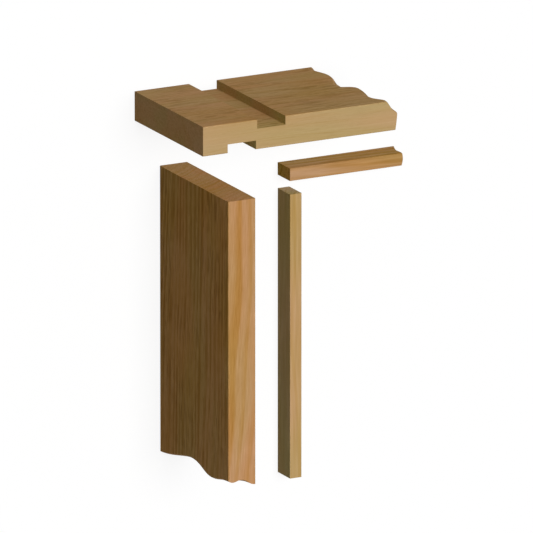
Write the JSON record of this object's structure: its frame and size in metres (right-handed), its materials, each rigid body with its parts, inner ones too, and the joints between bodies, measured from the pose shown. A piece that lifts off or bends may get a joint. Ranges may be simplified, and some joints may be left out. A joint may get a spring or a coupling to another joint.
{
  "type": "door lining corner set",
  "caption": "Corner of a softwood door frame laid out loose: a head trenched on both faces, a leg board and two slim stop strips, with wavy cut ends.",
  "frame": {"origin": "on the floor under the middle of the layout, which lies on the boards' back edges", "axes": "+X along the head away from the leg, +Y up the leg towards the head, +Z from the back edges on the floor to the front edges"},
  "size_m": [0.2684, 0.3838, 0.138],
  "materials": {
    "pine_tan": "planed bare pine, matt",
    "pine_orange": "planed bare pine, matt"
  },
  "bodies": {
    "root": {"head": "pine_tan", "leg": "pine_orange", "leg_stop": "pine_tan", "head_stop": "pine_orange"}
  },
  "joints": []
}
